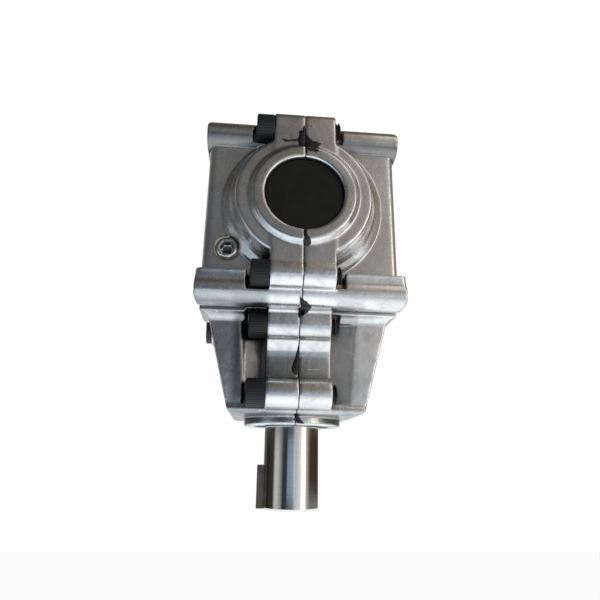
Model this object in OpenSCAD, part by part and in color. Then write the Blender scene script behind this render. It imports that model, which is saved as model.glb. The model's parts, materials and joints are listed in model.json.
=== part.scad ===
// Right-angle mower deck gearbox, cast split housing with a pair of bevel gears.
// Origin: crossing of the two shaft axes. Output shaft points down (-Z).
// Input shaft drives from the rear (+Y), the capped bore faces the front (-Y).
// Units are millimetres.

/* [Shafts] */
// Diameter of both shaft ends
shaft_d = 25.4; // [24.6:0.1:25.4]
// Free length of the output shaft below the collar
output_free = 35.7; // [26:0.1:50]
// Free length of the input shaft behind the rear boss
input_free = 44; // [36:1:60]
// Diameter of the tapped hole in the end of each shaft
end_hole_d = 8.5; // [6.8:0.1:8.5]
// Width and height of the square keys
key_w = 6.35; // [5:0.05:6.35]
// Length of the key at the output end
output_key_len = 18.4; // [12:0.1:22]

/* [Housing] */
// Half width of the upper box
box_w = 42.8; // [42:0.1:43]
// Half depth of the upper box
box_d = 41.5; // [41:0.1:42]
// Top of the housing
top_z = 44; // [43.5:0.1:45]
// Half width of the top slab and the middle flange
flange_w = 44.2; // [44:0.1:46]
// Radius of the round face of the front boss
boss_r = 28.3; // [27.5:0.1:29.5]
// Radius of the collar round the output shaft
collar_r = 22.6; // [22:0.1:24]

/* [Bevel gears] */
// Teeth on each of the two gears
teeth = 18; // [18:1:18]
// Circular gap left at each tooth flank
backlash = 0.3; // [0.2:0.05:0.5]

/* [Fasteners] */
// Shank diameter of the case screws
screw_d = 7.9; // [7:0.1:7.9]
// Head diameter of the case screws
head_d = 11.9; // [11:0.1:12]
// Diameter of the tapped holes in the left side
side_hole_d = 5; // [4.2:0.1:5]
// Diameter of the tapped holes in the top
top_hole_d = 6.8; // [5:0.1:6.8]

/* [Hidden] */
$fn = 64;
shaft_r = shaft_d / 2;
key_seat = sqrt(shaft_r * shaft_r - key_w * key_w / 4) - key_w / 2;
screw_r = screw_d / 2;
head_h = 7.9;
lug_w = 13.7;
lug_r = 6.5;
lug_face = 53.7;
lug_top = 41.4;
// Screw axes, y and z, front column; the rear column mirrors them
lugs = [[-48.7, 35], [-48.3, -35], [-32.3, -52.6], [-34.5, -82]];
collar_z = -93.9;
output_end = collar_z - output_free;
rear_face = 60.5;
input_end = rear_face + input_free;
// Bearing seats
brg_r = 25.4;
brg_w = 12.7;
up_z = -59.2;
low_z = -86.6;
rear_y = 40.5;
front_y = -48;
front_w = 14;
front_r = 23.5;
// Bevel tooth form, straight teeth on a 45 degree cone
pitch_r = 31.5;
module_t = 2 * pitch_r / teeth;
add_t = 0.9 * module_t;
ded_t = 1.2 * module_t;
virt_r = pitch_r / cos(45);
virt_n = teeth / cos(45);
base_r = virt_r * cos(20);
heel = 36;
toe = 21;
// Mounting holes: four in the bar ends on the left side, four in the top
side_hole_y = 41;
side_hole_top = 35;
side_hole_low = -40.5;
side_hole_depth = 14;
top_hole_x = 24;
top_hole_y = 30;
top_hole_depth = 10.5;
// Middle flange
flange_top = -33.5;
flange_low = -41.9;
flange_d = 49;
// Round bars along the upper edges and below the middle flange
bar_r = 6.5;
bar_z = 35;
bar_d = 46;
low_bar_z = -41.3;
low_bar_end = low_bar_z - bar_r;
// Fillet between the lower bars and the neck
neck_fillet = 4.2;
neck_x = 38.7;
neck_y = 31;
// Dowels between the halves
dowel_r = 2.5;
dowel_y = 29.6;
dowel_z = -67;
// Front opening and plugs
cap_r = 16.9;
cap_face = -53.6;
plug_x = -32.3;
plug_z = -21.4;
drain_y = -8;
drain_z = -50.5;
drain_face = -39.3;
drain_pad_r = 6.4;
// Tapped holes in the shaft ends
end_hole_r = end_hole_d / 2;
end_hole_depth = 24;
end_hole_tip = 2.5;
// Shaft seals and the shoulders behind them
shoulder_r = shaft_r + 1.9;
seal_out = 17.5;
seal_in = 22.2;
seal_w = 6.35;

// Cylinder between two stations of the X axis
module along_x(r, x0, x1, y, z) {
    translate([x0, y, z])
        rotate([0, 90, 0])
            cylinder(r = r, h = x1 - x0);
}

// Cylinder between two stations of the Y axis
module along_y(r, y0, y1, x = 0, z = 0) {
    translate([x, y0, z])
        rotate([-90, 0, 0])
            cylinder(r = r, h = y1 - y0);
}

// Cylinder between two stations of the Z axis
module along_z(r, z0, z1, x = 0, y = 0) {
    translate([x, y, z0])
        cylinder(r = r, h = z1 - z0);
}

// Turned body on the Y axis from a list of radius and station
module turned_y(points) {
    rotate([-90, 0, 0])
        rotate_extrude()
            polygon(points);
}

// Turned body on the Z axis from a list of radius and station
module turned_z(points) {
    rotate_extrude()
        polygon(points);
}

// Box from its two far corners
module block(a, b) {
    translate(a)
        cube(b - a);
}

// Outline in X and Z carried through the depth of the housing
module front_outline(points, half) {
    translate([0, half, 0])
        rotate([90, 0, 0])
            linear_extrude(2 * half)
                polygon(points);
}

// Outline in Y and Z carried through the width of the housing
module side_outline(points, half) {
    translate([-half, 0, 0])
        rotate([90, 0, 90])
            linear_extrude(2 * half)
                polygon(points);
}

// Upright block with round vertical edges
module round_block(w, d, r, z0, z1) {
    block([-w, r - d, z0], [w, d - r, z1]);
    block([r - w, -d, z0], [w - r, d, z1]);
    for (x = [r - w, w - r], y = [r - d, d - r])
        along_z(r, z0, z1, x, y);
}

// Top slab with a round bar along its front and rear edges
module top_slab() {
    w = flange_w;
    y = bar_d - bar_r;
    intersection() {
        union() {
            for (s = [-1, 1])
                along_x(bar_r, -w, w, s * y, bar_z);
            block([-w, -y, bar_z - bar_r], [w, y, bar_z + bar_r]);
            block([2.5 - w, 3 - y, bar_z], [w - 2.5, y - 3, top_z]);
        }
        front_outline([
            [-w, 20], [w, 20], [w, bar_z + bar_r - 3.4], [w - 1, bar_z + bar_r - 1],
            [w - 3.4, bar_z + bar_r + 0.2], [w - 3.4, top_z + 1], [3.4 - w, top_z + 1],
            [3.4 - w, bar_z + bar_r + 0.2], [1 - w, bar_z + bar_r - 1], [-w, bar_z + bar_r - 3.4]
        ], 60);
    }
    front_outline([
        [-w, bar_z - bar_r + 1], [-w, bar_z - bar_r], [-box_w - 0.5, bar_z - bar_r - 1.6],
        [-box_w, bar_z - bar_r - 4], [box_w, bar_z - bar_r - 4],
        [box_w + 0.5, bar_z - bar_r - 1.6], [w, bar_z - bar_r], [w, bar_z - bar_r + 1]
    ], box_d - 3);
}

// Middle flange, hollow along its edges, on a round bar at the front and rear
module mid_flange() {
    hollow_r = 11.4;
    w = flange_w;
    difference() {
        round_block(w, flange_d, 3, low_bar_z, flange_top);
        for (s = [-1, 1])
            along_x(hollow_r, -60, 60, s * (flange_d + hollow_r - 0.8), (flange_low + flange_top) / 2);
    }
    intersection() {
        for (s = [-1, 1])
            along_x(bar_r, -w, w, s * (flange_d - bar_r), low_bar_z);
        front_outline([
            [-w, -30], [-w, low_bar_z - 3.4], [0.4 - w, low_bar_z - 4.7], [1.5 - w, low_bar_z - 5.9],
            [3 - w, low_bar_z - 6.6], [w - 3, low_bar_z - 6.6], [w - 1.5, low_bar_z - 5.9],
            [w - 0.4, low_bar_z - 4.7], [w, low_bar_z - 3.4], [w, -30]
        ], 60);
    }
}

// Points of the fillet that leads from the lower bars down to a face at a
function fillet(a, s) = [
    for (t = [90 : -15 : 0])
        [s * (a + neck_fillet * (1 - cos(t))), low_bar_end - neck_fillet * (1 - sin(t))]
];

// Tapered neck that carries the output bearings
module neck() {
    difference() {
        intersection() {
            for (s = [-1, 1])
                front_outline(concat(
                    [[0, -36], [s * (neck_x + neck_fillet), -36]], fillet(neck_x, s),
                    [[s * 29.6, -87.2], [s * 29, -88.7], [s * 27.6, -89.6], [s * 23.6, -89.9], [0, -89.9]]
                ), 60);
            for (s = [-1, 1])
                side_outline(concat(
                    [[0, -36], [s * (neck_y + neck_fillet), -36]], fillet(neck_y, s),
                    [[s * 29.3, -86.4], [s * 30.3, -87.5], [s * 29.9, -88.9], [s * 28.6, -89.7],
                        [s * 23.6, -89.9], [0, -89.9]]
                ), 60);
        }
        neck_pockets();
    }
}

// Shallow faces beside the screw columns and the pockets in both flanks
module neck_pockets() {
    for (s = [-1, 1], t = [-1, 1]) {
        front_pocket(s, t);
        block_sorted([s * 33.5, t * 4, -80], [s * 50, t * 22, -62]);
    }
}

// Recessed face with a sloping outer side
module front_pocket(s, t) {
    translate([0, 0, -85.4])
        linear_extrude(34.6)
            polygon([
                [s * 8, t * 26.9], [s * 15, t * 27.1], [s * 22.5, t * 29.2], [s * 25.4, t * 31.2],
                [s * 25.8, t * 40], [s * 8, t * 40]
            ]);
}

// Box from two corners given in any order
module block_sorted(a, b) {
    lo = [min(a[0], b[0]), min(a[1], b[1]), min(a[2], b[2])];
    hi = [max(a[0], b[0]), max(a[1], b[1]), max(a[2], b[2])];
    block(lo, hi);
}

// Round boss with its cone shaped skirt, front or rear
module bosses() {
    turned_y([
        [0, -30], [37, -30], [35.4, -41.5], [35.1, -42.6], [32.2, -44.6], [boss_r + 2.4, -47],
        [boss_r + 1.4, -52.2], [boss_r + 0.9, -53.1], [boss_r, -53.4], [23.9, -53.4],
        [23.5, -53.6], [23.3, -54.3], [22.8, -54.5], [22.4, -54.7], [22.2, -55.4], [21.8, -55.7],
        [0, -55.7]
    ]);
    turned_y([
        [0, 30], [37, 30], [34.8, 41.5], [31.9, 45], [30.6, 52], [29.8, rear_face - 0.8],
        [29, rear_face], [0, rear_face]
    ]);
}

// One pair of screw columns, s = 1 front, s = -1 rear
module columns(s) {
    for (i = [1 : 3])
        along_x(lug_r, -lug_w, lug_w, s * lugs[i][0], lugs[i][1]);
    side_outline([
        [s * -30, 15], [s * -lug_face, 15], [s * -lug_face, lug_top - 3.6],
        [s * (1 - lug_face), lug_top - 1.3], [s * (3.2 - lug_face), lug_top],
        [s * -38, lug_top + 0.3], [s * -38, 30]
    ], lug_w);
    block_sorted([-lug_w, s * -lug_face, -35], [lug_w, s * -30, -15]);
    block_sorted([-lug_w, s * -48.3, -41.5], [lug_w, s * -28, -35]);
    side_outline([
        [s * -26, -38], [s * -46, -38], [s * -46, -42.4], [s * -39, -48.5], [s * -38.8, -53],
        [s * -36.4, -58.4], [s * -37.4, -59.8], [s * -34.4, -64.2], [s * -33.9, -67],
        [s * -33.9, -76], [s * -34.5, -88.5], [s * -26, -88.5]
    ], lug_w);
}

// Space round the screw heads on the left and the screw ends on the right
module screw_room(s) {
    for (p = lugs) {
        along_x(6.7, -lug_w - 9.4, -lug_w, s * p[0], p[1]);
        along_x(5.4, lug_w, lug_w + 4.2, s * p[0], p[1]);
    }
}

// Outside of the whole housing before it is split
module shell() {
    difference() {
        union() {
            round_block(box_w, box_d, 3.3, -40, 40);
            top_slab();
            mid_flange();
            neck();
            bosses();
            along_x(drain_pad_r, drain_face, -36, drain_y, drain_z);
            along_z(collar_r, collar_z + 0.5, -80);
            turned_z([[0, collar_z], [collar_r - 0.6, collar_z], [collar_r, collar_z + 0.6], [0, -93]]);
        }
        for (s = [-1, 1])
            screw_room(s);
        along_x(drain_pad_r, -60, drain_face, drain_y, drain_z);
    }
    for (s = [-1, 1])
        columns(s);
}

// Gear chamber with the pads for the tapped holes in the top left standing
module chamber() {
    difference() {
        round_block(37, 37.4, 6, -38, 38);
        for (x = [-top_hole_x, top_hole_x], y = [-top_hole_y, top_hole_y])
            along_z(7.4, 31.6, 40, x, y);
        turned_y([[0, -32], [0, -40], [27.5, -40], [26.2, -36.5], [26, -32]]);
        along_y(8.5, -40, -33, plug_x, plug_z);
    }
}

// Bores for the bearings, seals and shafts
module bores() {
    along_z(21, -47, -30);
    along_z(brg_r, up_z, up_z + brg_w);
    along_z(21, low_z, up_z + 1);
    along_z(brg_r, low_z, low_z + brg_w);
    along_z(seal_out, -110, low_z + 1);
    along_y(21, 30, rear_y + 1);
    along_y(brg_r, rear_y, rear_y + brg_w);
    along_y(seal_in, rear_y + 1, 80);
    along_y(front_r, front_y, front_y + front_w);
    along_y(20, front_y, -25);
    along_y(cap_r, -70, front_y + 1);
    turned_y([[0, -60], [cap_r + 0.6, -60], [cap_r + 0.6, -55.7], [cap_r, -54.9], [0, -54.9]]);
}

// Holes for screws, dowels, plugs and mounting bolts
module holes() {
    for (s = [-1, 1]) {
        for (p = lugs)
            along_x(screw_r + 0.1, -lug_w - 1, lug_w + 1, s * p[0], p[1]);
        along_x(dowel_r, -8, 8, s * dowel_y, dowel_z);
    }
    for (y = [-side_hole_y, side_hole_y], z = [side_hole_top, side_hole_low])
        along_x(side_hole_d / 2, -flange_w - 5, side_hole_depth - flange_w, y, z);
    for (x = [-top_hole_x, top_hole_x], y = [-top_hole_y, top_hole_y])
        along_z(top_hole_d / 2, top_z - top_hole_depth, top_z + 5, x, y);
    along_y(5.2, -50, -41, plug_x, plug_z);
    along_y(4.6, -42, -30, plug_x, plug_z);
    along_x(5, -45, -31, drain_y, drain_z);
}

// One half of the housing, side = -1 left, side = 1 right
module half_housing(side) {
    difference() {
        intersection() {
            shell();
            block_sorted([0, -90, -110], [side * 70, 90, 60]);
        }
        chamber();
        bores();
        holes();
    }
}

module housing_left() {
    color([0.62, 0.63, 0.64])
        half_housing(-1);
}

module housing_right() {
    color([0.68, 0.68, 0.67])
        half_housing(1);
}

// Socket head cap screw, head on the left, s = 1 front column, s = -1 rear
module case_screw(i, s) {
    y = s * lugs[i][0];
    z = lugs[i][1];
    x0 = -lug_w - head_h;
    color([0.08, 0.08, 0.09])
        difference() {
            union() {
                along_x(head_d / 2, x0 + 0.6, -lug_w, y, z);
                along_x(head_d / 2 - 0.5, x0, x0 + 1, y, z);
                along_x(screw_r, -lug_w - 1, lug_w + 1.4, y, z);
                along_x(screw_r - 0.7, lug_w, lug_w + 2.3, y, z);
            }
            translate([x0 - 1, y, z])
                rotate([0, 90, 0])
                    cylinder(r = 3.67, h = 5.2, $fn = 6);
        }
}

module screw_front_top() { case_screw(0, 1); }
module screw_front_boss() { case_screw(1, 1); }
module screw_front_mid() { case_screw(2, 1); }
module screw_front_low() { case_screw(3, 1); }
module screw_rear_top() { case_screw(0, -1); }
module screw_rear_boss() { case_screw(1, -1); }
module screw_rear_mid() { case_screw(2, -1); }
module screw_rear_low() { case_screw(3, -1); }

// Ground pin that lines up the halves
module dowel(s) {
    color([0.75, 0.75, 0.76])
        along_x(dowel_r, -7.9, 7.9, s * dowel_y, dowel_z);
}

module dowel_front() { dowel(-1); }
module dowel_rear() { dowel(1); }

// Cup shaped cover pressed into the front bore
module end_cap() {
    color([0.06, 0.06, 0.06])
        turned_y([
            [0, cap_face], [cap_r - 0.5, cap_face], [cap_r, cap_face + 0.5],
            [cap_r, front_y - 0.6], [cap_r - 2.2, front_y - 0.6],
            [cap_r - 2.2, cap_face + 2.4], [0, cap_face + 2.4]
        ]);
}

// Threaded plug with a hexagon socket in the front wall
module fill_plug() {
    color([0.7, 0.7, 0.7])
        difference() {
            union() {
                along_y(4.9, -41.9, -41, plug_x, plug_z);
                along_y(4.6, -41.2, -34, plug_x, plug_z);
            }
            translate([plug_x, -43, plug_z])
                rotate([-90, 0, 0])
                    cylinder(r = 2.9, h = 5.4, $fn = 6);
        }
}

// Low headed plug on the left flank of the neck
module drain_plug() {
    color([0.1, 0.1, 0.1])
        difference() {
            union() {
                along_x(5, drain_face - 1, -33, drain_y, drain_z);
                along_x(6, drain_face - 2.3, drain_face, drain_y, drain_z);
            }
            translate([drain_face - 2.9, drain_y, drain_z])
                rotate([0, 90, 0])
                    cylinder(r = 2.9, h = 4.4, $fn = 6);
        }
}

// Lip seal section from the outer station a inwards: case, lip and hollow side
function seal_section(r, a) =
    let (b = a + seal_w)
    [
        [shaft_r + 0.05, b - 1.6], [shaft_r + 1.4, b - 3.2], [r - 1.6, b - 3.2], [r - 1.6, b],
        [r, b], [r, a], [shaft_r + 0.5, a], [shaft_r + 0.3, a + 1.6]
    ];

module output_seal() {
    color([0.09, 0.09, 0.09])
        turned_z(seal_section(seal_out, collar_z + 0.6));
}

module input_seal() {
    color([0.09, 0.09, 0.09])
        mirror([0, 1, 0])
            turned_y(seal_section(seal_in, 0.6 - rear_face));
}

// Output shaft with keyways and ring grooves
module output_shaft() {
    color([0.72, 0.71, 0.69])
        difference() {
            turned_z([
                [0, output_end + end_hole_depth + end_hole_tip],
                [end_hole_r, output_end + end_hole_depth], [end_hole_r, output_end + 0.8],
                [end_hole_r + 0.8, output_end], [shaft_r - 1, output_end], [shaft_r, output_end + 1],
                [shaft_r, low_z - 1.4], [shoulder_r, low_z - 1.4], [shoulder_r, low_z],
                [shaft_r, low_z], [shaft_r, -24],
                [shaft_r - 0.8, -24], [shaft_r - 0.8, -22.75], [shaft_r, -22.75],
                [shaft_r, -21.5], [shaft_r - 1, -20.5], [0, -20.5]
            ]);
            block([-shaft_r - 4, -key_w / 2, output_end - 1],
                [-key_seat, key_w / 2, output_end + output_key_len + 0.5]);
            block([key_seat, -key_w / 2, -44], [shaft_r + 4, key_w / 2, -27]);
        }
}

module output_key() {
    color([0.6, 0.58, 0.55])
        block([-key_seat - key_w, -key_w / 2, output_end + 0.5],
            [-key_seat, key_w / 2, output_end + output_key_len + 0.5]);
}

module output_gear_key() {
    color([0.5, 0.5, 0.5])
        block([key_seat, -key_w / 2, -44], [key_seat + key_w, key_w / 2, -27]);
}

module output_spacer() {
    color([0.6, 0.6, 0.6])
        difference() {
            along_z(16, low_z + brg_w, up_z);
            along_z(shaft_r, -90, -50);
        }
}

// Split retaining ring round a shaft, lying in the XY plane
module retaining_ring(h) {
    difference() {
        cylinder(r = shaft_r + 2.2, h = h);
        translate([0, 0, -1])
            cylinder(r = shaft_r - 0.8, h = h + 2);
        block([-20, -2.5, -1], [0, 2.5, h + 1]);
    }
}

module output_ring() {
    color([0.3, 0.3, 0.3])
        translate([0, 0, -24])
            retaining_ring(1.25);
}

// Input shaft, small journal at the front, keyed at the rear end
module input_shaft() {
    color([0.72, 0.71, 0.69])
        difference() {
            turned_y([
                [0, -47.6], [9.4, -47.6], [10, -47], [10, front_y + front_w],
                [shaft_r, front_y + front_w], [shaft_r, 22.75], [shaft_r - 0.8, 22.75],
                [shaft_r - 0.8, 24], [shaft_r, 24], [shaft_r, rear_y + brg_w],
                [shoulder_r, rear_y + brg_w], [shoulder_r, rear_y + brg_w + 0.9],
                [shaft_r, rear_y + brg_w + 0.9], [shaft_r, input_end - 1],
                [shaft_r - 1, input_end], [end_hole_r + 0.8, input_end],
                [end_hole_r, input_end - 0.8], [end_hole_r, input_end - end_hole_depth],
                [0, input_end - end_hole_depth - end_hole_tip]
            ]);
            block([key_seat, 26, -key_w / 2], [shaft_r + 4, 39, key_w / 2]);
            block([-key_w / 2, input_end - 32, key_seat],
                [key_w / 2, input_end + 1, shaft_r + 4]);
        }
}

module input_key() {
    color([0.6, 0.58, 0.55])
        block([-key_w / 2, input_end - 32, key_seat],
            [key_w / 2, input_end - 1, key_seat + key_w]);
}

module input_gear_key() {
    color([0.5, 0.5, 0.5])
        block([key_seat, 26, -key_w / 2], [key_seat + key_w, 39, key_w / 2]);
}

module input_ring() {
    color([0.3, 0.3, 0.3])
        translate([0, 24, 0])
            rotate([90, 0, 0])
                retaining_ring(1.25);
}

// Involute function in degrees
function inv(a) = tan(a) * 180 / PI - a;

// Half tooth angle at distance t above the pitch cone, on the back cone
function virt_half(t) =
    90 / virt_n - backlash / 2 / virt_r * 180 / PI + inv(20)
    - inv(acos(min(1, base_r / (virt_r + t))));

function axis_r(t) = pitch_r + t * cos(45);
function axis_a(t) = pitch_r - t * sin(45);
function half_angle(t) = virt_half(t) * (virt_r + t) / axis_r(t);

// Point of the tooth outline brought to the heel plane
function tooth_point(t, side, mid) =
    let (k = heel / axis_a(t), a = mid + side * half_angle(t))
    [axis_r(t) * k * cos(a), axis_r(t) * k * sin(a)];

steps = [-ded_t, -2.6, -1.4, -0.4, 0.7, 1.8, add_t];

// Closed outline of all teeth on the heel plane
function outline(offset) = [
    for (n = [0 : teeth - 1])
        let (mid = n * 360 / teeth + offset)
        for (j = [0 : 13])
            j < 7 ? tooth_point(steps[j], -1, mid) : tooth_point(steps[13 - j], 1, mid)
];

// Bevel gear with its cone point at the origin and its back towards +Z
module bevel_gear(offset, hub_end) {
    difference() {
        union() {
            intersection() {
                translate([0, 0, heel])
                    mirror([0, 0, 1])
                        linear_extrude(height = heel - toe, scale = toe / heel)
                            polygon(outline(offset));
                rotate_extrude()
                    polygon([
                        [0, 25.4], [21.3, 25.4], [25.2, 21.5], [33.9, 29.1],
                        [28.3, 34.7], [27.3, 35.9], [0, 35.9]
                    ]);
            }
            along_z(17, 24, hub_end);
        }
        along_z(shaft_r, 10, 60);
        block([0, -key_w / 2, 20], [key_seat + key_w, key_w / 2, 60]);
    }
}

module output_gear() {
    color([0.45, 0.45, 0.46])
        rotate([180, 0, 0])
            bevel_gear(180 / teeth, 46.5);
}

module input_gear() {
    color([0.45, 0.45, 0.46])
        rotate([-90, 0, 0])
            bevel_gear(0, rear_y);
}

// Outer ring of a ball bearing, base on the XY plane
module outer_ring(r_out, r_in, r_ball, w) {
    difference() {
        cylinder(r = r_out, h = w);
        translate([0, 0, -1])
            cylinder(r = r_in, h = w + 2);
        ball_track(r_ball, w);
    }
}

module inner_ring(r_out, r_in, r_ball, w) {
    difference() {
        cylinder(r = r_out, h = w);
        translate([0, 0, -1])
            cylinder(r = r_in, h = w + 2);
        ball_track(r_ball, w);
    }
}

// Groove that the balls run in
module ball_track(r_ball, w) {
    translate([0, 0, w / 2])
        rotate_extrude()
            translate([r_ball, 0])
                circle(r = 4.3);
}

// Ring of balls held by their cage
module ball_ring(r_ball, n, w) {
    translate([0, 0, w / 2]) {
        difference() {
            translate([0, 0, -2.6])
                cylinder(r = r_ball + 1.1, h = 5.2);
            translate([0, 0, -4])
                cylinder(r = r_ball - 1.1, h = 8);
        }
        for (i = [0 : n - 1])
            rotate([0, 0, i * 360 / n])
                translate([r_ball, 0, 0])
                    sphere(r = 3.97);
    }
}

module at_rear() {
    translate([0, rear_y, 0])
        rotate([-90, 0, 0])
            children();
}

module at_front() {
    translate([0, front_y, 0])
        rotate([-90, 0, 0])
            children();
}

module low_bearing_outer() {
    color([0.7, 0.7, 0.72])
        translate([0, 0, low_z])
            outer_ring(brg_r, 21.7, 19.05, brg_w);
}

module low_bearing_inner() {
    color([0.7, 0.7, 0.72])
        translate([0, 0, low_z])
            inner_ring(16.4, shaft_r, 19.05, brg_w);
}

module low_bearing_balls() {
    color([0.8, 0.8, 0.82])
        translate([0, 0, low_z])
            ball_ring(19.05, 9, brg_w);
}

module up_bearing_outer() {
    color([0.7, 0.7, 0.72])
        translate([0, 0, up_z])
            outer_ring(brg_r, 21.7, 19.05, brg_w);
}

module up_bearing_inner() {
    color([0.7, 0.7, 0.72])
        translate([0, 0, up_z])
            inner_ring(16.4, shaft_r, 19.05, brg_w);
}

module up_bearing_balls() {
    color([0.8, 0.8, 0.82])
        translate([0, 0, up_z])
            ball_ring(19.05, 9, brg_w);
}

module rear_bearing_outer() {
    color([0.7, 0.7, 0.72])
        at_rear()
            outer_ring(brg_r, 21.7, 19.05, brg_w);
}

module rear_bearing_inner() {
    color([0.7, 0.7, 0.72])
        at_rear()
            inner_ring(16.4, shaft_r, 19.05, brg_w);
}

module rear_bearing_balls() {
    color([0.8, 0.8, 0.82])
        at_rear()
            ball_ring(19.05, 9, brg_w);
}

module front_bearing_outer() {
    color([0.7, 0.7, 0.72])
        at_front()
            outer_ring(front_r, 19.4, 16.75, front_w);
}

module front_bearing_inner() {
    color([0.7, 0.7, 0.72])
        at_front()
            inner_ring(14.1, 10, 16.75, front_w);
}

module front_bearing_balls() {
    color([0.8, 0.8, 0.82])
        at_front()
            ball_ring(16.75, 8, front_w);
}

housing_left();
housing_right();
end_cap();
fill_plug();
drain_plug();
screw_front_top();
screw_front_boss();
screw_front_mid();
screw_front_low();
screw_rear_top();
screw_rear_boss();
screw_rear_mid();
screw_rear_low();
dowel_front();
dowel_rear();
output_seal();
input_seal();
output_shaft();
output_key();
output_gear();
output_gear_key();
output_spacer();
output_ring();
input_shaft();
input_key();
input_gear();
input_gear_key();
input_ring();
low_bearing_outer();
low_bearing_inner();
low_bearing_balls();
up_bearing_outer();
up_bearing_inner();
up_bearing_balls();
rear_bearing_outer();
rear_bearing_inner();
rear_bearing_balls();
front_bearing_outer();
front_bearing_inner();
front_bearing_balls();
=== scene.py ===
import json
import math

import bmesh
import bpy
from mathutils import Matrix, Vector
from mathutils.bvhtree import BVHTree

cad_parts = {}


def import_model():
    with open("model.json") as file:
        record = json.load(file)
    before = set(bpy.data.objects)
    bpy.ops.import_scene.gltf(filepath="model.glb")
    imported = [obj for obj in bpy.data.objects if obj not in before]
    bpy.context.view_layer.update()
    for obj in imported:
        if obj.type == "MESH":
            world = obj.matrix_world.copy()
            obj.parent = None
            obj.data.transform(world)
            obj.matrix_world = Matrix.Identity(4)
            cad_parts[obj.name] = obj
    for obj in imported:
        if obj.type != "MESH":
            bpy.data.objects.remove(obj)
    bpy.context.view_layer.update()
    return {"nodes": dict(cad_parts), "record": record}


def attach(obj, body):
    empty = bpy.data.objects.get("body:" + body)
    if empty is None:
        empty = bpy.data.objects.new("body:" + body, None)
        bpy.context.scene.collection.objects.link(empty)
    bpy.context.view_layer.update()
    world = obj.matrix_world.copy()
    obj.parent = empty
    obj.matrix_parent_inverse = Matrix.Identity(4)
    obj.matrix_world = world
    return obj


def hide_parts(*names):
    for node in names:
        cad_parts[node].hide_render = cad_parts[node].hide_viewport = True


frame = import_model()
NODES = frame["nodes"]
HALVES = ("housing_left", "housing_right")
MM = 0.001

# Sizes and places of the part in millimetres, from the crossing of the two shafts.
# Each screw at the front has its axis at a depth and a height, and one at the rear mirrors it.
SCREW_AXES = {"top": (-48.7, 35.0), "boss": (-48.3, -35.0), "mid": (-32.3, -52.6), "low": (-34.5, -82.0)}
LUG_HALF = 13.7
SCREW_PROUD = 2.3
SCREW_R = 3.95
HEAD_R = 5.95
HEAD_H = 7.9
HEAD_RIBS = 34
THREAD_PITCH = 1.41
THREAD_DEPTH = 0.75
THREAD_STEPS = 42
PLUG_X = -32.3
PLUG_Z = -21.4
PLUG_FACE = -41.9
PLUG_TURNS = 96


# Node trees
class Tree:
    """Short hand for building the node tree of a material or of the world."""

    def __init__(self, owner):
        owner.use_nodes = True
        self.nodes = owner.node_tree.nodes
        self.links = owner.node_tree.links

    def add(self, kind, values=None, **props):
        node = self.nodes.new(kind)
        for key, value in props.items():
            setattr(node, key, value)
        for key, value in (values or {}).items():
            self.put(node.inputs[key], value)
        return node

    def put(self, socket, value):
        """Links an output to the socket, or gives the socket a plain value; a colour gets its alpha."""
        if isinstance(value, bpy.types.NodeSocket):
            self.links.new(value, socket)
        elif isinstance(value, tuple) and len(value) == 3 and len(socket.default_value) == 4:
            socket.default_value = (*value, 1)
        else:
            socket.default_value = value

    def math(self, op, a, b=0.0):
        return self.add("ShaderNodeMath", {0: a, 1: b}, operation=op).outputs[0]

    def times(self, first, *others):
        for factor in others:
            first = self.math("MULTIPLY", first, factor)
        return first

    def plus(self, a, b):
        return self.math("ADD", a, b)

    def ramp(self, value, stops):
        """Blend between stops, each a place from 0 to 1 with a grey level or a colour."""
        node = self.add("ShaderNodeValToRGB", {"Fac": value})
        elements = node.color_ramp.elements
        while len(elements) < len(stops):
            elements.new(0.5)
        for element, (at, colour) in zip(elements, stops):
            element.position = at
            element.color = (colour, colour, colour, 1) if isinstance(colour, float) else (*colour, 1)
        return node.outputs["Color"]

    def mix(self, share, a, b, blend="MIX"):
        """Colour a, with that share of colour b."""
        node = self.add("ShaderNodeMix", data_type="RGBA", blend_type=blend)
        self.put(node.inputs[0], share)
        self.put(node.inputs[6], a)
        self.put(node.inputs[7], b)
        return node.outputs[2]

    def fade(self, value, low, high):
        """From 0 at the low end to 1 at the high end, and level past both."""
        return self.add("ShaderNodeMapRange", {"Value": value, "From Min": low, "From Max": high},
                        clamp=True).outputs["Result"]

    def mirrored(self):
        """1 where a ray comes by way of a mirror or through glass."""
        path = self.add("ShaderNodeLightPath")
        return self.math("MAXIMUM", path.outputs["Is Glossy Ray"], path.outputs["Is Transmission Ray"])

    def to_camera(self):
        return self.add("ShaderNodeLightPath").outputs["Is Camera Ray"]


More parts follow.
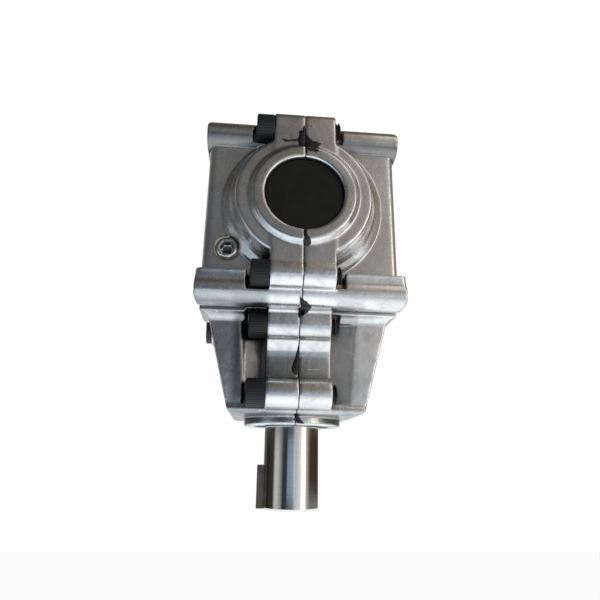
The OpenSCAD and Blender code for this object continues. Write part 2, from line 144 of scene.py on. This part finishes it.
class MaterialTree(Tree):
    """Node tree of a new material, with noise, bumps and masks by the place on the part."""

    def __init__(self, name):
        self.mat = bpy.data.materials.new(name)
        super().__init__(self.mat)
        self.bsdf = self.nodes["Principled BSDF"]
        self.coord = self.add("ShaderNodeTexCoord").outputs["Object"]

    def scaled(self, scale):
        """Object coordinates times a vector."""
        return self.add("ShaderNodeMapping", {"Vector": self.coord, "Scale": scale}).outputs["Vector"]

    def noise(self, scale, detail=4.0, rough=0.5, vector=None, distortion=0.0):
        values = {"Vector": vector or self.coord, "Scale": scale, "Detail": detail, "Roughness": rough,
                  "Distortion": distortion}
        return self.add("ShaderNodeTexNoise", values).outputs["Fac"]

    def bump(self, height, strength, distance, normal=None):
        node = self.add("ShaderNodeBump", {"Height": height, "Strength": strength, "Distance": distance})
        if normal is not None:
            self.put(node.inputs["Normal"], normal)
        return node.outputs["Normal"]

    def edges(self):
        """Above a half on outer edges, below it in inner corners."""
        return self.add("ShaderNodeNewGeometry").outputs["Pointiness"]

    def place(self, axis):
        """Coordinate along X, Y or Z in metres."""
        return self.add("ShaderNodeSeparateXYZ", {"Vector": self.coord}).outputs[axis]

    def up(self, stops):
        """Mask by millimetres above the crossing of the shafts. Ramps have 256 steps, so here one is 4 mm."""
        return self.ramp(self.place("Z"), [(at * MM, level) for at, level in stops])

    def down(self, stops):
        """Mask by millimetres below the crossing of the shafts, in the same steps of 4 mm."""
        return self.ramp(self.times(self.place("Z"), -1.0), [(at * MM, level) for at, level in stops])

    def across(self, stops):
        """Mask by millimetres to the right of the joint between the halves, from -50 to 50."""
        spread = self.plus(self.times(self.place("X"), 10.0), 0.5)
        return self.ramp(spread, [(at / 100 + 0.5, level) for at, level in stops])

    def ahead_of(self, depth):
        """1 in front of the plane that lies that many millimetres ahead of the output shaft's axis."""
        return self.math("LESS_THAN", self.place("Y"), -depth * MM)

    def round_plug(self, stops):
        """Mask by millimetres from the axis of the fill plug, up to 10."""
        aside = self.math("SUBTRACT", self.place("X"), PLUG_X * MM)
        lift = self.math("SUBTRACT", self.place("Z"), PLUG_Z * MM)
        far = self.math("SQRT", self.plus(self.times(aside, aside), self.times(lift, lift)))
        return self.ramp(self.times(far, 100.0), [(at / 10, level) for at, level in stops])

    def shade(self, color, metal, rough, normal=None, spec=None):
        values = {"Base Color": color, "Metallic": metal, "Roughness": rough, "Normal": normal,
                  "Specular IOR Level": spec}
        for key, value in values.items():
            if value is not None:
                self.put(self.bsdf.inputs[key], value)
        return self.mat


# Materials
def cast_painted_shade(t, base, mottle, lower_front):
    """Painted shade by place: under the top bars and the middle bars, in the left pocket and on the web; and
    a darker band along the low rim, more on the left.
    """
    normal = t.add("ShaderNodeNewGeometry").outputs["Normal"]
    facing_down = t.times(t.add("ShaderNodeSeparateXYZ", {"Vector": normal}).outputs["Z"], -1.0)
    # Painted shade on the downward faces under the top bars.
    shade_under_top = t.times(t.up([(20, 0.0), (23, 0.88)]), t.ramp(facing_down, [(0.08, 0.0), (0.5, 1.0)]))
    base = t.mix(shade_under_top, base, (0.17, 0.165, 0.16))
    # Painted shade in the left pocket, mottled.
    left_pocket = t.times(lower_front, t.across([(-29.5, 0.0), (-26.4, 1.0), (-14.5, 1.0), (-12.5, 0.0)]))
    pocket_shade = t.times(left_pocket, t.plus(t.times(mottle, 0.3), 0.62))
    base = t.mix(pocket_shade, base, (0.13, 0.135, 0.14))
    # Painted shade on the recessed web between the two lower lugs.
    web_shade = t.times(t.down([(63.5, 0.0), (66.0, 0.45), (74.5, 0.8), (75.5, 0.0)]), t.ahead_of(20),
                  t.across([(-15, 0.0), (-13, 1.0), (0, 0.9), (13, 0.5), (15, 0.0)]))
    base = t.mix(web_shade, base, (0.16, 0.155, 0.15))
    # Painted shade under the middle bars where the neck meets them, strong on the left and faint on the
    # right.
    shade_under_middle = t.times(t.down([(44.8, 0.0), (46.5, 1.0), (49.2, 1.0), (50.5, 0.0)]),
                           t.across([(-45, 0.85), (-16, 0.80), (-13, 0.0), (13, 0.0), (16, 0.12),
                                     (45, 0.12)]))
    base = t.mix(shade_under_middle, base, (0.15, 0.16, 0.175))
    low_rim = t.times(t.down([(86.2, 0.0), (87.8, 1.0), (91.2, 1.0), (91.7, 0.0)]),
                      t.across([(-38, 0.94), (-14, 0.92), (-4, 0.45), (10, 0.42), (22, 0.66), (40, 0.60)]))
    return t.mix(low_rim, base, (0.16, 0.17, 0.18))


def cast_scratches(t, base):
    """A few short bright scratches, level, in patches."""
    lines = t.noise(1.0, 2.0, 0.5, t.scaled((160.0, 160.0, 1500.0)))
    patches = t.noise(150.0, 2.0, 0.5)
    scratches = t.times(t.ramp(lines, [(0.69, 0.0), (0.73, 0.8)]),
                        t.ramp(patches, [(0.56, 0.0), (0.60, 1.0)]))
    return t.mix(scratches, base, (0.95, 0.95, 0.95))


def cast_aluminium():
    """Die cast skin: flow clouds, fine pits, painted shade in the corners and in places, a stain round the
    fill plug, a dark joint.
    """
    t = MaterialTree("cast_aluminium")
    clouds = t.noise(38.0, 5.0, 0.6, distortion=0.6)
    mottle = t.noise(95.0, 4.0, 0.65, distortion=1.2)
    grain = t.noise(1900.0, 3.0, 0.6)
    edges = t.edges()
    corner_shade = t.add("ShaderNodeAmbientOcclusion", {"Distance": 0.009}, samples=6).outputs["AO"]
    lower_front = t.times(t.down([(45, 0.0), (49, 1.0), (84, 1.0), (88, 0.0)]), t.ahead_of(20))
    joint = t.ramp(t.times(t.math("ABSOLUTE", t.place("X")), 1000.0), [(0.12, 0.6), (0.38, 0.0)])

    base = t.ramp(clouds, [(0.30, (0.68, 0.685, 0.69)), (0.55, (0.82, 0.82, 0.82)),
                           (0.75, (0.90, 0.895, 0.885))])
    base = t.mix(t.ramp(mottle, [(0.50, 0.0), (0.72, 0.40)]), base, (0.44, 0.42, 0.40))
    base = t.mix(t.ramp(grain, [(0.25, 0.22), (0.45, 0.0)]), base, (0.30, 0.30, 0.31))
    # Painted shade in inner corners.
    base = t.mix(t.ramp(edges, [(0.42, 0.60), (0.495, 0.0)]), base, (0.16, 0.155, 0.15))
    # Bright outer edges: worn metal, and partly a painted highlight.
    base = t.mix(t.ramp(edges, [(0.52, 0.0), (0.58, 0.35)]), base, (0.88, 0.88, 0.88))
    # Painted shade in the corners, from ambient occlusion.
    base = t.mix(t.ramp(corner_shade, [(0.32, 0.82), (0.76, 0.0)]), base, (0.12, 0.115, 0.11))
    base = cast_painted_shade(t, base, mottle, lower_front)
    base = cast_scratches(t, base)
    plug_dirt = t.times(t.round_plug([(5.0, 0.75), (6.0, 0.55), (6.6, 0.0)]), t.ahead_of(30))
    base = t.mix(plug_dirt, base, (0.22, 0.19, 0.16))
    base = t.mix(joint, base, (0.05, 0.048, 0.045))

    rough = t.plus(t.times(clouds, 0.14), 0.16)
    rough = t.plus(rough, t.times(t.ramp(mottle, [(0.45, 0.0), (0.7, 1.0)]), 0.12))
    rough = t.plus(rough, t.times(joint, 0.4))
    normal = t.bump(grain, 0.06, 0.0002)
    normal = t.bump(t.noise(420.0, 3.0, 0.55), 0.14, 0.0005, normal)
    normal = t.bump(t.noise(70.0, 2.0, 0.5), 0.12, 0.0016, normal)
    # The right pocket is made less metallic so that it renders lighter: painted light.
    lighter_pocket = t.times(lower_front, t.across([(13.5, 0.0), (15, 1.0), (25.5, 1.0), (27, 0.0)]))
    metal = t.math("SUBTRACT", 0.96, t.times(lighter_pocket, 0.60))
    return t.shade(base, metal, rough, normal)


def ground_steel(name, stretch):
    """Ground shaft steel: stretched noise makes fine rings round the axis, with a few rub marks on them."""
    t = MaterialTree(name)
    tint = (0.76, 0.74, 0.71)
    dark = tuple(c * 0.55 for c in tint)
    rings = t.noise(1.0, 3.0, 0.7, t.scaled(stretch))
    rubs = t.noise(120.0, 4.0, 0.6, distortion=0.8)
    base = t.mix(t.ramp(rings, [(0.30, 0.0), (0.75, 0.35)]), tint, dark)
    base = t.mix(t.ramp(rubs, [(0.50, 0.0), (0.75, 0.25)]), base, (0.42, 0.37, 0.31))
    rough = t.plus(t.times(rings, 0.05), 0.035)
    return t.shade(base, 1.0, rough, t.bump(rings, 0.12, 0.00008))


def gear_steel():
    """Cut steel under a thin brown film of oil."""
    t = MaterialTree("gear_steel")
    fine = t.noise(900.0, 4.0, 0.65)
    film = t.noise(60.0, 3.0, 0.5, distortion=1.0)
    base = t.mix(t.ramp(film, [(0.35, 0.0), (0.7, 0.8)]), (0.42, 0.42, 0.43), (0.24, 0.21, 0.17))
    rough = t.plus(t.times(fine, 0.2), 0.22)
    return t.shade(base, 1.0, rough, t.bump(fine, 0.15, 0.0001))


def bearing_steel():
    """Polished races and balls."""
    t = MaterialTree("bearing_steel")
    fine = t.noise(700.0, 3.0, 0.6)
    base = t.ramp(fine, [(0.3, (0.60, 0.60, 0.62)), (0.7, (0.72, 0.72, 0.73))])
    rough = t.plus(t.times(fine, 0.1), 0.12)
    return t.shade(base, 1.0, rough, t.bump(fine, 0.05, 0.00005))


def plug_steel():
    """Bright plating, scuffed, with painted shade in the socket of the fill plug."""
    t = MaterialTree("plug_steel")
    fine = t.noise(800.0, 4.0, 0.7)
    scuffs = t.noise(330.0, 3.0, 0.6, distortion=1.5)
    base = t.ramp(scuffs, [(0.35, (0.55, 0.56, 0.56)), (0.6, (0.92, 0.93, 0.94))])
    # Painted shade: the middle of the socket is near black.
    base = t.mix(t.round_plug([(2.0, 0.95), (2.7, 0.0)]), base, (0.02, 0.024, 0.03))
    rough = t.plus(t.times(fine, 0.3), 0.12)
    return t.shade(base, 1.0, rough, t.bump(fine, 0.2, 0.0001))


def black_oxide():
    """Oiled black finish of the screws, worn grey on the edges."""
    t = MaterialTree("black_oxide")
    mottle = t.noise(500.0, 5.0, 0.7)
    base = t.ramp(mottle, [(0.35, (0.007, 0.009, 0.011)), (0.65, (0.017, 0.020, 0.023))])
    base = t.mix(t.ramp(t.edges(), [(0.54, 0.0), (0.62, 0.35)]), base, (0.12, 0.12, 0.12))
    rough = t.plus(t.times(mottle, 0.25), 0.36)
    return t.shade(base, 0.0, rough, t.bump(mottle, 0.2, 0.0001), spec=0.45)


def spring_steel():
    """Dark blued steel of the retaining rings."""
    t = MaterialTree("spring_steel")
    mottle = t.noise(600.0, 4.0, 0.6)
    base = t.ramp(mottle, [(0.35, (0.06, 0.06, 0.065)), (0.65, (0.13, 0.13, 0.13))])
    rough = t.plus(t.times(mottle, 0.2), 0.25)
    return t.shade(base, 0.9, rough)


def black_rubber():
    """Dull black rubber of the cap and the seals, with a faint dusty bloom."""
    t = MaterialTree("black_rubber")
    dust = t.noise(240.0, 5.0, 0.7, distortion=0.5)
    fine = t.noise(1500.0, 3.0, 0.6)
    base = t.ramp(dust, [(0.35, (0.006, 0.006, 0.006)), (0.62, (0.011, 0.011, 0.010)),
                         (0.82, (0.03, 0.03, 0.027))])
    rough = t.plus(t.times(dust, 0.3), 0.42)
    normal = t.bump(fine, 0.25, 0.0001)
    normal = t.bump(t.noise(160.0, 2.0, 0.5), 0.15, 0.0008, normal)
    return t.shade(base, 0.0, rough, normal, spec=0.35)


def sealant_black():
    """Cured silicone squeezed from the joint."""
    t = MaterialTree("sealant_black")
    lumps = t.noise(500.0, 3.0, 0.5)
    base = t.ramp(lumps, [(0.4, (0.008, 0.008, 0.008)), (0.7, (0.02, 0.02, 0.02))])
    return t.shade(base, 0.0, 0.38, t.bump(lumps, 0.4, 0.0004), spec=0.5)


def key_steel():
    """Bare steel of the keys, ground lengthwise, under a brown film."""
    t = MaterialTree("key_steel")
    grind = t.noise(1.0, 3.0, 0.6, t.scaled((1500.0, 1500.0, 90.0)))
    film = t.noise(200.0, 4.0, 0.6)
    base = t.mix(t.ramp(film, [(0.4, 0.0), (0.7, 0.7)]), (0.20, 0.175, 0.15), (0.10, 0.08, 0.06))
    rough = t.plus(t.times(grind, 0.25), 0.25)
    return t.shade(base, 1.0, rough, t.bump(grind, 0.2, 0.0001))


MATERIALS = {
    "cast_aluminium": cast_aluminium(),
    "black_oxide": black_oxide(),
    "black_rubber": black_rubber(),
    "plug_steel": plug_steel(),
    "ground_steel": ground_steel("ground_steel", stretch=(60.0, 60.0, 5200.0)),
    "key_steel": key_steel(),
    "gear_steel": gear_steel(),
    "spring_steel": spring_steel(),
    "bearing_steel": bearing_steel(),
}
GROUND_ALONG_Y = ground_steel("ground_steel_y", stretch=(60.0, 5200.0, 60.0))
SEALANT = sealant_black()


# Dress and skin of the CAD pieces
def dress(obj, mat):
    obj.data.materials.clear()
    obj.data.materials.append(mat)


def modifier(obj, kind, **values):
    mod = obj.modifiers.new(kind.lower(), kind)
    for key, value in values.items():
        setattr(mod, key, value)


def cast_skin(obj):
    """Rounds every edge and fills every corner a little, as a casting has them."""
    modifier(obj, "WELD", merge_threshold=0.002 * MM)
    modifier(obj, "REMESH", mode="VOXEL", voxel_size=0.42 * MM, use_smooth_shade=True)
    modifier(obj, "SMOOTH", factor=0.5, iterations=9)


for part in frame["record"]["subparts"]:
    dress(NODES[part["node"]], MATERIALS[part["material_slot"]])
dress(NODES["input_shaft"], GROUND_ALONG_Y)  # its axis lies along Y, so its rings are spaced along Y
for half in HALVES:
    cast_skin(NODES[half])


# Screws and fill plug
def lathed(name, rings, place, mat, stands_for=None, crease=38):
    """Closed piece that rides the housing, from rings of equally many points; place() sets them, in mm."""
    count = len(rings[0])
    faces = [tuple(range(count)), tuple(range((len(rings) - 1) * count, len(rings) * count))]
    for i in range(len(rings) - 1):
        for j in range(count):
            k = (j + 1) % count
            faces.append((i * count + j, (i + 1) * count + j, (i + 1) * count + k, i * count + k))
    mesh = bpy.data.meshes.new(name)
    mesh.from_pydata([tuple(c * MM for c in place(*p)) for r in rings for p in r], [], faces)
    shape = bmesh.new()
    shape.from_mesh(mesh)
    bmesh.ops.recalc_face_normals(shape, faces=shape.faces)
    shape.to_mesh(mesh)
    shape.free()
    for face in mesh.polygons:
        face.use_smooth = True
    obj = bpy.data.objects.new(name, mesh)
    bpy.context.scene.collection.objects.link(obj)
    if crease:
        modifier(obj, "EDGE_SPLIT", split_angle=math.radians(crease))
    dress(obj, mat)
    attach(obj, "housing")
    if stands_for:
        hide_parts(stands_for)


def ring(x, radius, turns=HEAD_RIBS * 6):
    """One ring of points round the X axis; radius is a number or a function of the angle."""
    at = radius if callable(radius) else (lambda a: radius)
    angles = [2 * math.pi * j / turns for j in range(turns)]
    return [(x, at(a) * math.cos(a), at(a) * math.sin(a)) for a in angles]


def hexagon(flats):
    """Radius of a hexagon with that size across its flats, at an angle."""
    return lambda a: flats / 2 / math.cos((a % (math.pi / 3)) - math.pi / 6)


def ribbed(radius, depth):
    """Radius of a head with fine ribs along it."""
    return lambda a: radius - depth * (0.5 + 0.5 * math.cos(a * HEAD_RIBS)) ** 2


def thread(x, end):
    """Radius of the screw's thread at station x, cut down to the chamfer near its end."""
    def at(a):
        wave = abs(((x / THREAD_PITCH - a / (2 * math.pi)) % 1.0) * 2 - 1)
        flank = SCREW_R - THREAD_DEPTH * min(1.0, max(0.0, wave * 1.35 - 0.2))
        chamfer = SCREW_R - THREAD_DEPTH * 0.6 + (end - x) * 0.9
        return min(flank, chamfer)
    return at


def cap_screw(name, y, z):
    """Socket head cap screw with ribbed head, hexagon socket and thread."""
    seat = -LUG_HALF
    top = seat - HEAD_H
    start = LUG_HALF - 1.5
    end = LUG_HALF + SCREW_PROUD
    head = [
        (top + 4.3, 0.4), (top + 3.6, hexagon(6.2)), (top + 0.35, hexagon(6.35)), (top, hexagon(7.0)),
        (top, HEAD_R - 0.75), (top + 0.18, HEAD_R - 0.35), (top + 0.6, ribbed(HEAD_R, 0.05)),
        (top + 1.0, ribbed(HEAD_R, 0.16)), (seat - 0.9, ribbed(HEAD_R, 0.16)),
        (seat - 0.5, HEAD_R - 0.12), (seat, HEAD_R - 0.2), (seat, SCREW_R),
    ]
    rings = [ring(x, radius) for x, radius in head]
    for i in range(THREAD_STEPS + 1):
        x = start + (end - start) * i / THREAD_STEPS
        rings.append(ring(x, thread(x, end)))
    rings.append(ring(end, SCREW_R - 1.6))
    lathed(name + "_formed", rings, lambda a, b, c: (a, b + y, c + z), MATERIALS["black_oxide"],
           stands_for=name)


def fill_plug():
    """Plated plug with a domed edge and a worn hexagon socket."""
    outline = [
        (4.6, 0.5), (3.4, hexagon(4.7)), (0.9, hexagon(4.9)), (0.1, hexagon(5.9)), (0.0, hexagon(6.5)),
        (0.05, 3.9), (0.3, 4.4), (0.75, 4.75), (1.1, 4.9), (1.6, 4.9), (1.6, 4.5), (8.0, 4.5),
    ]
    rings = [ring(PLUG_FACE + x, radius, PLUG_TURNS) for x, radius in outline]
    lathed("fill_plug_formed", rings, lambda a, b, c: (b + PLUG_X, a, c + PLUG_Z), MATERIALS["plug_steel"],
           stands_for="fill_plug", crease=30)


for label, (y, z) in SCREW_AXES.items():
    cap_screw("screw_front_" + label, y, z)
    cap_screw("screw_rear_" + label, -y, z)
fill_plug()


# Sealant
# Outlines of what was squeezed from the joint: the middle, then the rim, each as
# millimetres to the right and millimetres up a plane that leans back by SIGHT degrees
SIGHT = 20.0
SEALANT_SPOTS = {
    "lug": [(0.0, 43.2), (-0.5, 50.6), (-0.1, 48.3), (0.4, 45.8), (1.4, 45.2), (2.3, 44.2), (3.3, 43.0),
            (5.1, 42.8), (7.3, 41.8), (5.9, 40.6), (5.6, 38.3), (4.9, 36.4), (3.3, 37.8), (1.8, 37.1),
            (1.0, 38.2), (0.8, 39.1), (0.7, 36.5), (-0.2, 36.6), (-0.3, 40.1), (-2.7, 40.3), (-3.6, 42.5),
            (-3.7, 43.7), (-3.0, 45.0), (-2.7, 47.6), (-1.4, 48.2), (-0.9, 50.1)],
    "tail": [(-6.9, 42.7), (-10.8, 43.2), (-9.5, 43.0), (-6.9, 43.0), (-2.9, 43.6), (-2.9, 42.5),
             (-6.9, 42.3), (-8.0, 41.8), (-9.1, 42.0)],
    "dot": [(2.4, 50.3), (2.0, 50.3), (2.4, 50.7), (2.7, 50.3), (2.4, 49.8)],
    "hub": [(0.4, -2.0), (-0.4, 2.8), (0.9, 2.8), (1.1, 0.1), (2.4, -1.1), (2.9, -2.7), (1.8, -4.6),
            (0.3, -4.2), (-0.6, -2.4), (-0.2, -0.4), (-0.5, 1.7)],
    "bar": [(0.5, -29.6), (-1.1, -25.4), (0.3, -25.8), (2.1, -27.3), (4.5, -29.6), (3.7, -31.4),
            (1.6, -33.2), (-0.1, -34.5)],
    "web_shade": [(-0.6, -54.7), (-0.2, -45.9), (0.3, -50.6), (0.5, -57.8), (-1.8, -58.0), (-2.9, -56.7),
            (-2.3, -53.5), (-1.1, -49.8)],
    "neck": [(0.9, -78.0), (0.1, -73.4), (1.4, -77.0), (2.1, -78.2), (4.2, -80.3), (2.0, -80.1),
             (-0.1, -79.5), (-0.9, -78.4), (0.2, -77.5)],
}
# Section of a lump from its middle to its rim: share of the way, millimetres above the casting
LUMP = [(0.0, 0.42), (0.3, 0.40), (0.55, 0.36), (0.75, 0.29), (0.9, 0.18), (1.0, 0.02), (1.06, -0.25)]


def housing_surface():
    """Function that gives the nearest point of the finished housing along a line."""
    graph = bpy.context.evaluated_depsgraph_get()
    trees = []
    for half in HALVES:
        shown = NODES[half].evaluated_get(graph)
        mesh = shown.to_mesh()
        points = [shown.matrix_world @ v.co for v in mesh.vertices]
        trees.append(BVHTree.FromPolygons(points, [tuple(face.vertices) for face in mesh.polygons]))
        shown.to_mesh_clear()

    def cast(start, way):
        hits = [hit for hit in (tree.ray_cast(start, way) for tree in trees) if hit[0] is not None]
        return min(hits, key=lambda hit: hit[3])[0] if hits else None
    return cast


def quartered(outline):
    """The same closed outline with each side cut in four."""
    points = []
    for here, after in zip(outline, outline[1:] + outline[:1]):
        points += [tuple(a + (b - a) * k / 4 for a, b in zip(here, after)) for k in range(4)]
    return points


def sealant(surface):
    """Low lumps of cured sealant that lie on the casting along its joint."""
    lean = math.radians(SIGHT)
    way = Vector((0, math.cos(lean), math.sin(lean)))
    up = Vector((0, -math.sin(lean), math.cos(lean)))
    for name, (middle, *rim) in SEALANT_SPOTS.items():
        rim = quartered(rim)
        rings = []
        for share, height in LUMP:
            points = []
            for k, spot in enumerate(rim):
                wave = 1.0 + (0.05 * math.sin(k * 1.9) + 0.04 * math.sin(k * 0.73 + 1.0)) * (share > 0.5)
                aside, lift = [m + (p - m) * max(share, 0.02) * wave for m, p in zip(middle, spot)]
                start = Vector((aside, 0, 0)) * MM + up * lift * MM - way * 0.12
                hit = surface(start, way) or start + way * 0.07
                points.append(tuple((hit - way * height * MM) / MM))
            rings.append(points)
        lathed("sealant_" + name, rings, lambda a, b, c: (a, b, c), SEALANT, crease=None)


sealant(housing_surface())


# Camera, lamps, floor and room
def camera():
    """Stands low in front of the capped face and looks up at it."""
    place = Vector((-16.734, -239.786, -106.003)) * MM
    yaw, pitch, roll = (math.radians(a) for a in (4.719, 17.378, 0.883))
    focal_px = 493.581
    picture_px = 600.0
    sensor = 36.0
    turn = Matrix.Rotation(-yaw, 3, "Z")
    right = turn @ Vector((1, 0, 0))
    up = turn @ Vector((0, -math.sin(pitch), math.cos(pitch)))
    right, up = right * math.cos(roll) + up * math.sin(roll), up * math.cos(roll) - right * math.sin(roll)
    back = right.cross(up)
    data = bpy.data.cameras.new("camera")
    data.sensor_width = sensor
    data.lens = sensor * focal_px / picture_px
    data.clip_start = 0.01
    data.clip_end = 20.0
    cam = bpy.data.objects.new("camera", data)
    cam.matrix_world = Matrix.Translation(place) @ Matrix((right, up, back)).transposed().to_4x4()
    bpy.context.scene.collection.objects.link(cam)
    bpy.context.scene.camera = cam


def area_lamp(name, place, size, power, colour):
    """Soft rectangular lamp aimed near the middle of the housing."""
    data = bpy.data.lights.new(name, "AREA")
    data.shape = "RECTANGLE"
    data.size, data.size_y = size
    data.energy = power
    data.color = colour
    lamp = bpy.data.objects.new(name, data)
    lamp.location = place
    housing_middle = Vector((0, 0, -0.03))
    aim = housing_middle - lamp.location
    lamp.rotation_euler = aim.to_track_quat("-Z", "Y").to_euler()
    bpy.context.scene.collection.objects.link(lamp)


def floor():
    """Plain pale floor below the part: white paper to the camera, a glow that fades outward to mirrors."""
    half, height = 0.9, -0.30
    corners = [(-half, -half, height), (half, -half, height), (half, half, height), (-half, half, height)]
    mesh = bpy.data.meshes.new("floor")
    mesh.from_pydata(corners, [], [(0, 1, 2, 3)])
    obj = bpy.data.objects.new("floor", mesh)
    bpy.context.scene.collection.objects.link(obj)
    t = MaterialTree("floor")
    t.nodes.remove(t.bsdf)
    paper = t.add("ShaderNodeBsdfDiffuse", {"Color": (0.85, 0.85, 0.86)})
    mirrored = t.mirrored()
    glowing = t.math("MAXIMUM", t.times(t.to_camera(), 0.97), mirrored)
    share = t.plus(t.math("DIVIDE", t.place("X"), 2 * half), 0.5)
    skylit = t.ramp(share, [(0.30, (0.74, 0.90, 1.0)), (0.52, (0.92, 0.98, 1.0)), (0.70, (1.0, 1.0, 1.0))])
    away = t.add("ShaderNodeVectorMath", {0: t.coord}, operation="LENGTH").outputs["Value"]
    level = t.ramp(away, [(0.34, 1.38), (0.42, 1.20), (0.55, 0.86), (0.80, 0.52), (0.95, 0.42)])
    strength = t.plus(t.times(mirrored, t.math("SUBTRACT", level, 1.0)), 1.0)
    colour = t.mix(mirrored, (1.0, 1.0, 1.0), skylit)
    glow = t.add("ShaderNodeEmission", {"Color": colour, "Strength": strength})
    mix = t.add("ShaderNodeMixShader", {0: glowing, 1: paper.outputs[0], 2: glow.outputs[0]})
    t.put(t.nodes["Material Output"].inputs["Surface"], mix.outputs[0])
    mesh.materials.append(t.mat)


# What stands round the camera, as degrees to the right of it and the light that comes from there:
# below its level, a little above it, and well above it
ROOM_LOW = [
    (-180, (0.30, 0.30, 0.29)), (-118, (0.022, 0.019, 0.013)), (-81, (0.05, 0.05, 0.045)),
    (-71, (0.62, 0.64, 0.63)), (-58, (0.60, 0.62, 0.62)), (-45, (0.28, 0.29, 0.30)),
    (-36, (0.035, 0.045, 0.055)), (-14, (0.04, 0.05, 0.065)), (-2, (0.09, 0.10, 0.12)),
    (5, (0.15, 0.16, 0.17)), (13, (0.50, 0.53, 0.57)), (27, (0.76, 0.78, 0.80)),
    (36, (1.00, 0.98, 0.96)), (52, (1.0, 0.92, 0.84)), (66, (0.52, 0.45, 0.37)),
    (80, (0.06, 0.05, 0.036)), (128, (0.045, 0.036, 0.025)), (180, (0.30, 0.30, 0.29)),
]
ROOM_LEVEL = [
    (-180, (0.34, 0.34, 0.34)), (-120, (0.22, 0.22, 0.22)), (-90, (0.07, 0.07, 0.07)),
    (-45, (0.09, 0.10, 0.12)), (-12, (0.07, 0.085, 0.11)), (-3, (0.08, 0.10, 0.125)),
    (4, (0.15, 0.16, 0.17)), (9, (0.56, 0.55, 0.55)), (22, (0.68, 0.65, 0.61)),
    (45, (0.76, 0.68, 0.61)), (75, (0.34, 0.30, 0.24)), (100, (0.10, 0.09, 0.07)),
    (130, (0.22, 0.21, 0.20)), (180, (0.34, 0.34, 0.34)),
]
ROOM_ABOVE = [
    (-180, (0.55, 0.55, 0.54)), (-125, (0.40, 0.40, 0.40)), (-90, (0.10, 0.10, 0.095)),
    (-45, (0.10, 0.105, 0.115)), (-12, (0.115, 0.13, 0.15)), (4, (0.175, 0.175, 0.17)),
    (16, (0.37, 0.345, 0.31)), (32, (0.43, 0.385, 0.33)), (75, (0.36, 0.31, 0.25)),
    (105, (0.16, 0.14, 0.11)), (135, (0.40, 0.39, 0.37)), (180, (0.55, 0.55, 0.54)),
]
# How much is left at each sine of the height above the camera
ROOM_HEIGHT = [
    (0.0, (1.0, 1.0, 1.0)), (0.45, (0.95, 0.94, 0.92)), (0.62, (0.72, 0.65, 0.55)),
    (0.8, (0.42, 0.36, 0.29)), (1.0, (0.24, 0.20, 0.15)),
]


def world():
    """White behind the object; round the camera a room over pale ground, with a high window at the right."""
    room_world = bpy.data.worlds.new("room")
    bpy.context.scene.world = room_world
    t = Tree(room_world)
    t.nodes.clear()
    way = t.add("ShaderNodeTexCoord").outputs["Generated"]
    x, y, z = t.add("ShaderNodeSeparateXYZ", {"Vector": way}).outputs
    turn = t.plus(t.math("DIVIDE", t.math("ARCTAN2", x, t.times(y, -1.0)), 2 * math.pi), 0.5)

    def bearing(degrees):
        return degrees / 360 + 0.5

    def around(band):
        return t.ramp(turn, [(bearing(degrees), colour) for degrees, colour in band])

    room = t.mix(t.fade(z, 0.035, 0.075), around(ROOM_LOW), around(ROOM_LEVEL))
    room = t.mix(t.fade(z, 0.20, 0.34), room, around(ROOM_ABOVE))
    room = t.mix(1.0, room, t.ramp(z, ROOM_HEIGHT), "MULTIPLY")
    window = t.times(t.fade(turn, bearing(12.6), bearing(25.2)), t.fade(turn, bearing(72), bearing(46.8)),
                     t.fade(z, 0.46, 0.62), t.fade(z, 0.97, 0.86))
    room = t.mix(window, room, (0.95, 0.90, 0.86))
    slope = t.math("SUBTRACT", z, t.times(t.fade(x, 0.12, 0.30), 0.10))
    ground = t.mix(t.fade(x, 0.10, 0.24), (0.42, 0.47, 0.52), (0.92, 0.97, 1.02))
    room = t.mix(t.fade(slope, -0.16, -0.32), room, ground)
    backdrop = t.times(t.mirrored(), t.fade(y, 0.88, 0.97))
    white = t.math("MAXIMUM", t.to_camera(), backdrop)
    light = t.add("ShaderNodeBackground", {"Color": t.mix(white, room, (1.0, 1.0, 1.0)), "Strength": 1.0})
    t.add("ShaderNodeOutputWorld", {"Surface": light.outputs[0]})


bpy.context.scene.view_settings.view_transform = "Standard"
camera()
world()
floor()
area_lamp("low_front", place=(0.15, -0.45, -0.80), size=(1.0, 0.7), power=15.0,
          colour=(0.85, 0.95, 1.0))
area_lamp("low_card", place=(-0.015, -0.35, -0.122), size=(0.20, 0.07), power=0.0165,
          colour=(0.53, 0.77, 1.0))
area_lamp("right_window", place=(0.72, -0.62, 0.0), size=(0.32, 1.0), power=1.2,
          colour=(1.0, 0.95, 0.88))
